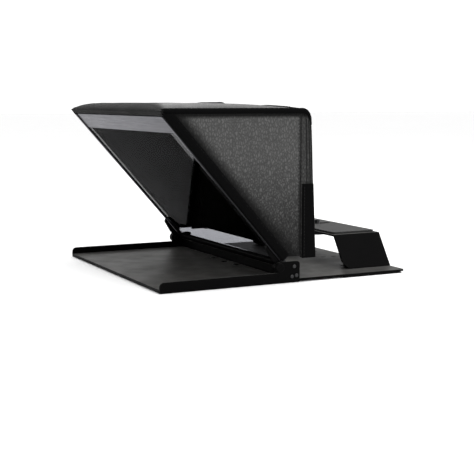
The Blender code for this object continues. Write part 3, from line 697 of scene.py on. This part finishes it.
def binding(word, side):
    """Tape folded round the slanted front edge of a side: a long U, thin where it is sewn down."""
    width = BORDER * math.sin(MIRROR_ANGLE) + 0.4 * MM
    section = binding_section(width)
    top = Vector((0, FRONT_Y, EDGE_Z)) - GLASS_UP * 2.4 * MM
    length = (top.z - BIND_LOW.z) / GLASS_UP.z
    level = Vector((0, 1 / math.sin(MIRROR_ANGLE), 0))
    rows = 150

    def point(i, j):
        back, x = section[i]
        down = length * j / (rows - 1)
        square = smooth(0, 24 * MM, down)
        spot = top - GLASS_UP * down + level.lerp(GLASS_BACK, square) * back
        ease = smooth(0, 3 * MM, back) * smooth(width, width - 3 * MM, back)
        x += ease * (0.22 * MM * wrinkle((back * 2, down, 0), 8 * MM, 1.3 + side)
                     + 0.10 * MM * math.sin(down / (5.3 * MM) * math.tau + back * 900))
        return side * x, spot.y, spot.z

    work = lattice(len(section), rows, point, None)
    tape = piece(f"hood_binding_{word}", work, TAPE,
                 replaces=(f"hood_front_binding_{word}",), thickness=0.7 * MM, offset=0.0)


# ---- hood: rear edges ---------------------------------------------------------------------------
RIDGES = (3.7 * MM, 1.0 * MM)            # before the rear edge
FOLD_LINES = ((0.02, 0.05), (0.53, 0.045), (0.82, 0.06))   # place and width of the painted shade in the creases, as shares of the strip
REAR_SHADE = 0.5                         # painted shade: the strip faces away from the light, so it is painted darker than the side
CORNER = 2.6 * MM                        # radius of the rear corner
STRAP_TOP = 0.505                        # share of the rear edge, from below, that the strap covers


def rear_section(z):
    """Section of the rear edge at a height, from the seam round the corner on to the back, as (y, x)."""
    edge, count = rear_y(z) + 0.9 * MM, 34
    start, outer = SEAM_Y + 0.1 * MM, HALF + 0.25 * MM
    flat_end = edge - CORNER
    made = []
    for i in range(count):
        y = start + (flat_end - start) * i / (count - 1)
        ridge = sum(math.exp(-((rear_y(z) - y - r) / (0.55 * MM)) ** 2) for r in RIDGES)
        sewn = math.exp(-((y - start) / (0.7 * MM)) ** 2)
        made.append((y, outer - 0.35 * MM + 0.7 * MM * ridge - 0.9 * MM * sewn))
    made += [(flat_end + CORNER * math.sin(t), outer - CORNER + CORNER * math.cos(t))
             for t in (math.radians(15) * i for i in range(1, 7))]
    made += [(edge, outer - CORNER - d) for d in (1.5 * MM, 3.5 * MM, 5.5 * MM)]
    return made


def rear_edge(word, side):
    """Ridged strip of leatherette from a side's rear seam round the corner on to the back."""
    rows, low, high = 90, REAR_LOW.z, EDGE_Z - 1.5 * MM

    def point(i, j):
        z = low + (high - low) * j / (rows - 1)
        y, x = rear_section(z)[i]
        x += 0.18 * MM * wrinkle((y, z, 0), 8 * MM, 7.0 + side)
        tuck = smooth(high - 9 * MM, high, z)
        return side * (x - 0.8 * MM * tuck), y - 3.2 * MM * tuck * smooth(SEAM_Y, rear_y(z), y), z

    # painted shade: dark in the creases between the ridges and under the piping, and over the whole strip
    def shade(spot):
        share = (spot.y - SEAM_Y) / (rear_y(spot.z) - SEAM_Y)
        dark = sum(math.exp(-((share - middle) / width) ** 2) for middle, width in FOLD_LINES)
        return (1 - 0.9 * min(1.0, dark)) * under_piping(spot.z) * REAR_SHADE

    work = lattice(len(rear_section(high)), rows, point, Vector((side, 0, 0)))
    border = piece(f"hood_rear_edge_{word}", work, LEATHER,
                   replaces=(f"hood_rear_border_{word}",), thickness=1.2 * MM, shade=shade)


def rear_strap(word, side):
    """Black hook-tape strap sewn over the lower part of the rear edge."""
    rows, low = 46, REAR_LOW.z - 0.6 * MM
    high = REAR_LOW.z + (EDGE_Z - REAR_LOW.z) * STRAP_TOP

    def point(i, j):
        z = low + (high - low) * j / (rows - 1)
        y, x = strap_section(z)[i]
        return side * (x + 0.12 * MM * wrinkle((y, z, 0), 7 * MM, 9.0 + side)), y, z

    work = lattice(len(strap_section(low)), rows, point, Vector((side, 0, 0)))
    strap = piece(f"hood_rear_strap_{word}", work, TAPE, thickness=0.8 * MM)


def strap_section(z):
    """Section of the strap over the rear edge, from just behind the seam round the corner."""
    edge, outer, count = rear_y(z) + 1.9 * MM, HALF + 1.25 * MM, 12
    start, flat_end = SEAM_Y + 1.4 * MM, edge - CORNER
    made = [(start + (flat_end - start) * i / (count - 1),
             outer - 0.55 * MM * math.exp(-i * 0.9)) for i in range(count)]
    made += [(flat_end + CORNER * math.sin(t), outer - CORNER + CORNER * math.cos(t))
             for t in (math.radians(15) * i for i in range(1, 7))]
    made += [(edge, outer - CORNER - d) for d in (2 * MM, 4 * MM, 6 * MM)]
    return made


# ---- hood: back with the lens opening -----------------------------------------------------------
LENS_Z = (COLLAR_LOW.z + COLLAR_HIGH.z) / 2
COLLAR_R = COLLAR_HIGH.x                 # outer radius of the collar
OPENING_R = COLLAR_R - 3.2 * MM
BACK_HALF = HALF - 2.6 * MM


def back_rim(count_x, count_z):
    """Points round the back panel's outline, anticlockwise from behind, as (x, z)."""
    low, made = SIDE_LOW.z, []
    top = [BACK_HALF * (2 * i / count_x - 1) for i in range(count_x + 1)]
    made += [(x, low) for x in top[:-1]]
    side_top = back_top(BACK_HALF)
    made += [(BACK_HALF, low + (side_top - low) * i / count_z) for i in range(count_z)]
    made += [(x, back_top(x)) for x in reversed(top[1:])]
    made += [(-BACK_HALF, side_top - (side_top - low) * i / count_z) for i in range(count_z)]
    return made


def back_top(x):
    """Upper edge of the back panel, tucked under the top cover."""
    return EDGE_Z - 3.4 * MM + crown_rise(x, REAR_Y) * 0.9


def back_panel():
    """Leatherette sheet across the back, dished in a little, with the lens opening."""
    rim = back_rim(44, 24)
    rings = 26

    def point(i, j):
        x, z = rim[i]
        share = (j / (rings - 1)) ** 1.25
        angle = math.atan2(z - LENS_Z, x)
        hole_x, hole_z = OPENING_R * math.cos(angle), LENS_Z + OPENING_R * math.sin(angle)
        x, z = hole_x + (x - hole_x) * share, hole_z + (z - hole_z) * share
        dish = -1.6 * MM * math.sin(math.pi * share) ** 0.8
        radial = 0.35 * MM * math.cos(26 * angle) * smooth(0.5, 0.0, share)
        soft = 0.5 * MM * wrinkle((x, z, 0), 24 * MM, 4.0) * math.sin(math.pi * share)
        return x, rear_y(z) - 0.3 * MM + dish + radial + soft, z

    work = lattice(len(rim), rings, point, Vector((0, 1, 0)), closed_columns=True)
    back = piece("hood_back", work, LEATHER, replaces=("hood_rear_panel",),
                 thickness=SHEET)


def rear_frame(angle, radius, out):
    """A point behind the back panel: round the lens opening at an angle and radius, out to the rear."""
    z = LENS_Z + radius * math.sin(angle)
    return radius * math.cos(angle), rear_y(z) + out, z


GATHERS = 44                             # folds of the gathered cloth round the collar


def collar():
    """Elastic collar round the lens opening: gathered cloth between a sewn rim and a drawn-in bead."""
    around = 8 * GATHERS
    section = [(COLLAR_R + 0.4 * MM, 0.15 * MM, 0.1), (COLLAR_R - 0.8 * MM, 1.0 * MM, 0.35),
               (COLLAR_R - 2.4 * MM, 1.75 * MM, 0.7), (COLLAR_R - 4.4 * MM, 2.3 * MM, 1.0),
               (COLLAR_R - 6.4 * MM, 2.35 * MM, 0.9), (COLLAR_R - 7.6 * MM, 2.0 * MM, 0.45)]
    bead = COLLAR_R - 8.8 * MM
    section += [(bead + 1.25 * MM * math.cos(t), 1.45 * MM + 1.25 * MM * math.sin(t), 0.25)
                for t in (math.radians(45 + 30 * i) for i in range(8))]
    section += [(COLLAR_R - 7.4 * MM, 0.5 * MM, 0.4), (COLLAR_R - 4.0 * MM, 0.35 * MM, 0.3)]

    def point(i, j):
        radius, out, share = section[j]
        angle = math.tau * i / around
        wave = math.cos(GATHERS * angle + 0.9 * math.sin(5 * angle))
        out += share * 0.55 * MM * wave
        return rear_frame(angle, radius + share * 0.15 * MM * wave, out)

    work = lattice(around, len(section), point, None, closed_rows=True, closed_columns=True)
    made = piece("hood_lens_collar", work, TAPE, replaces=("lens_collar",))


# ---- hood: flap over the rear top edge ----------------------------------------------------------
FLAP_HALF = 114 * MM
FLAP_START = REAR_Y - 16 * MM            # front edge of the flap


def flap_lift(x):
    """How far the flap stands off the cover: a pull tab on one side, a loose stretch on the other."""
    tab = 4.4 * MM * smooth(-FLAP_HALF, -FLAP_HALF + 3 * MM, x) * smooth(-45 * MM, -49 * MM, x)
    loose = smooth(24 * MM, 46 * MM, x) * (2.1 * MM - 1.8 * MM * smooth(46 * MM, FLAP_HALF, x))
    return tab + loose


def flap():
    """Tape flap from the rear of the top over the rear edge, with places as (y, drop, share of lift)."""
    columns = 112
    turn_y = REAR_Y + REAR_PROUD - REAR_ROUND
    over = [(FLAP_START + (turn_y - FLAP_START) * i / 9, 0.0, smooth(0, 9, i)) for i in range(9)]
    over += [(turn_y + (REAR_ROUND + 1.0 * MM) * math.sin(t), REAR_ROUND * (1 - math.cos(t)),
              math.cos(t) ** 0.5) for t in (math.radians(88) * i / 8 for i in range(9))]
    over += [(REAR_Y + REAR_PROUD + 1.4 * MM, REAR_ROUND + d * MM, 0.0) for d in (2.0, 4.5, 7.0)]

    def point(i, j):
        x = FLAP_HALF * (2 * i / (columns - 1) - 1)
        y, drop, share = over[j]
        lift = flap_lift(x) * share + 0.5 * MM
        lift += 0.25 * MM * share * wrinkle((x, y, 0), 12 * MM, 6.0)
        lift *= 1 if drop < REAR_ROUND else 0.2
        return x, y, cover_z(x, min(y, REAR_Y + REAR_PROUD), drop) + lift

    work = lattice(columns, len(over), point, Vector((0, 0.5, 1)))
    made = piece("hood_rear_flap", work, TAPE, replaces=("hood_top_flap",),
                 thickness=1.5 * MM)


# ---- hood: stitching ----------------------------------------------------------------------------
def side_stitching(word, side):
    """Rows beside the binding, at the rear seam, along the hem and round the strap."""
    out = Vector((side, 0, 0))
    width = BORDER * math.sin(MIRROR_ANGLE)
    top, low = EDGE_Z - 4 * MM, SIDE_LOW.z
    steps = 120

    def heights(a, b):
        return [a + (b - a) * i / steps for i in range(steps + 1)]

    front = []
    for z in heights(top, low + 6 * MM):
        y = front_y(z) + (width - 1.0 * MM) / math.sin(MIRROR_ANGLE)
        front.append((Vector((side * (HALF + 0.12 * MM), y, z)), out))
    seam = [(Vector((side * (side_x(SEAM_Y - 1.8 * MM, z) + 0.05 * MM), SEAM_Y - 1.8 * MM, z)), out)
            for z in heights(top, low + 3 * MM)]
    hem_z = low + HEM_HIGH - 1.4 * MM
    first, last = front_y(hem_z) + BORDER + 1 * MM, SEAM_Y - 1 * MM
    hem = [(Vector((side * (side_x(y, hem_z) + 0.05 * MM), y, hem_z)), out)
           for y in (first + (last - first) * i / 30 for i in range(31))]
    strap_high = REAR_LOW.z + (EDGE_Z - REAR_LOW.z) * STRAP_TOP - 2 * MM
    strap = [(Vector((side * (HALF + 1.2 * MM), SEAM_Y + 3.4 * MM, z)), out)
             for z in heights(strap_high, REAR_LOW.z + 1 * MM)]
    stitches(f"hood_stitching_{word}", [front, seam, hem, strap])


def back_stitching():
    """One row round the collar and one across the flap."""
    circle = []
    for i in range(241):
        angle = math.tau * i / 240
        x, y, z = rear_frame(angle, COLLAR_R - 0.9 * MM, 1.15 * MM)
        circle.append((Vector((x, y, z)), Vector((0, 1, 0))))
    y = REAR_Y - 14 * MM
    row = [(Vector((x, y, cover_z(x, y) + 1.0 * MM)), Vector((0, 0, 1)))
           for x in (FLAP_HALF * 0.985 * (2 * i / 160 - 1) for i in range(161))]
    stitches("hood_stitching_back", [circle, row])


# ---- metal details ------------------------------------------------------------------------------
THREAD_R, THREAD_PITCH = 3.175 * MM, 1.27 * MM     # quarter inch, 20 turns to the inch
HEAD_HIGH = 6 * MM


def screw_profile(low_z, high_z, head_r):
    """Outline of the camera screw from the bottom up, as (radius, z, kind of surface)."""
    head_top, step = low_z + HEAD_HIGH, THREAD_PITCH / 6
    made = [(0.02 * MM, low_z, "plain"), (head_r * 0.5, low_z, "plain"),
            (head_r * 0.55, low_z + 0.5 * MM, "plain"), (head_r * 0.85, low_z + 0.5 * MM, "plain"),
            (head_r - 0.4 * MM, low_z, "plain"), (head_r, low_z + 0.7 * MM, "knurl")]
    made += [(head_r, low_z + (0.9 + 0.42 * i) * MM, "knurl") for i in range(10)]
    made += [(head_r, head_top - 0.7 * MM, "knurl"), (head_r - 0.8 * MM, head_top, "plain"),
             (THREAD_R, head_top, "plain")]
    made += [(THREAD_R - 0.25 * MM, head_top + (i + 1) * step, "thread")
             for i in range(int((high_z - head_top) / step) - 3)]
    return made + [(THREAD_R - 0.7 * MM, high_z, "plain"), (0.02 * MM, high_z, "plain")]


def camera_screw():
    """Quarter-inch screw with a rolled thread and a knurled head, turning under the riser."""
    low, high = corners("camera_screw")
    centre, around = (low + high) / 2, 144
    profile = screw_profile(low.z, high.z, (high.x - low.x) / 2)

    def point(i, j):
        radius, z, kind = profile[j]
        angle = math.tau * i / around
        if kind == "knurl":
            radius -= 0.22 * MM * abs(math.sin(24 * angle))
        if kind == "thread":
            radius += 0.22 * MM * math.cos(z / THREAD_PITCH * math.tau - angle)
        return centre.x + radius * math.cos(angle), centre.y + radius * math.sin(angle), z

    work = lattice(around, len(profile), point, None, closed_columns=True)
    caps = [e for e in work.edges if e.is_boundary]
    bmesh.ops.holes_fill(work, edges=caps, sides=0)
    piece("camera_screw_knurled", work, STEEL, body="camera_screw",
          replaces=("camera_screw",))


# ---- stage, light and camera --------------------------------------------------------------------
CAMERA_PLACE = (0.9463, -0.4672, 0.1668)
CAMERA_AZIMUTH = math.radians(63.36)
CAMERA_ELEVATION = math.radians(7.49)
LENS_MM = 79.05
WORLD_STRENGTH = 1.12


def camera():
    """The camera, at the place that shows the object from the talent's right."""
    data = bpy.data.cameras.new("camera")
    data.lens, data.sensor_width = LENS_MM, 36.0
    data.clip_start, data.clip_end = 0.02, 50.0
    obj = bpy.data.objects.new("camera", data)
    bpy.context.scene.collection.objects.link(obj)
    back = Vector((math.sin(CAMERA_AZIMUTH) * math.cos(CAMERA_ELEVATION),
                   -math.cos(CAMERA_AZIMUTH) * math.cos(CAMERA_ELEVATION), math.sin(CAMERA_ELEVATION)))
    obj.location = CAMERA_PLACE
    obj.rotation_mode = "QUATERNION"
    obj.rotation_quaternion = (-back).to_track_quat("-Z", "Y")
    bpy.context.scene.camera = obj


def soft_box(name, place, size, power, aim=(0, 0, 0.08)):
    """A square area light that looks at the hood; size in metres, power in watts."""
    data = bpy.data.lights.new(name, "AREA")
    data.shape, data.size, data.energy = "SQUARE", size, power
    obj = bpy.data.objects.new(name, data)
    obj.location = place
    obj.rotation_mode = "QUATERNION"
    obj.rotation_quaternion = (Vector(aim) - Vector(place)).to_track_quat("-Z", "Y")
    bpy.context.scene.collection.objects.link(obj)


def floor():
    """Plain pale floor, a hair below the object."""
    work = bmesh.new()
    bmesh.ops.create_grid(work, x_segments=8, y_segments=8, size=12.0)
    mesh = bpy.data.meshes.new("floor")
    work.to_mesh(mesh)
    work.free()
    look = Looks("pale_paper")
    tone = look.noise(3.0, 3)
    look.set(Base_Color=look.mix(tone, (0.86, 0.86, 0.86), (0.89, 0.89, 0.89)),
             Specular_IOR_Level=0.15, Roughness=look.remap(tone, 0.3, 0.7, 0.75, 0.85),
             Normal=look.bump(look.noise(400, 2), 0.05, 0.1 * MM))
    mesh.materials.append(look.material)
    obj = bpy.data.objects.new("floor", mesh)
    obj.location.z = -0.2 * MM
    bpy.context.scene.collection.objects.link(obj)


def daylight():
    """Even white light from all round."""
    world = bpy.data.worlds.new("studio")
    world.use_nodes = True
    background = world.node_tree.nodes["Background"]
    background.inputs["Color"].default_value = (1.0, 1.0, 1.0, 1.0)
    background.inputs["Strength"].default_value = WORLD_STRENGTH
    bpy.context.scene.world = world
    bpy.context.scene.view_settings.view_transform = "Standard"


camera()
floor()
daylight()
soft_box("key_side", (1.5, 0.55, 0.95), 1.1, 16)
soft_box("overhead", (0.0, 0.35, 1.5), 1.3, 14)
soft_box("far_side", (-1.4, 0.2, 0.9), 1.1, 6)

top_cover()
back_panel()
collar()
flap()
back_stitching()
camera_screw()
for side_word, side_sign in SIDES:
    piping(side_word, side_sign)
    side_panel(side_word, side_sign)
    binding(side_word, side_sign)
    rear_edge(side_word, side_sign)
    rear_strap(side_word, side_sign)
    side_stitching(side_word, side_sign)
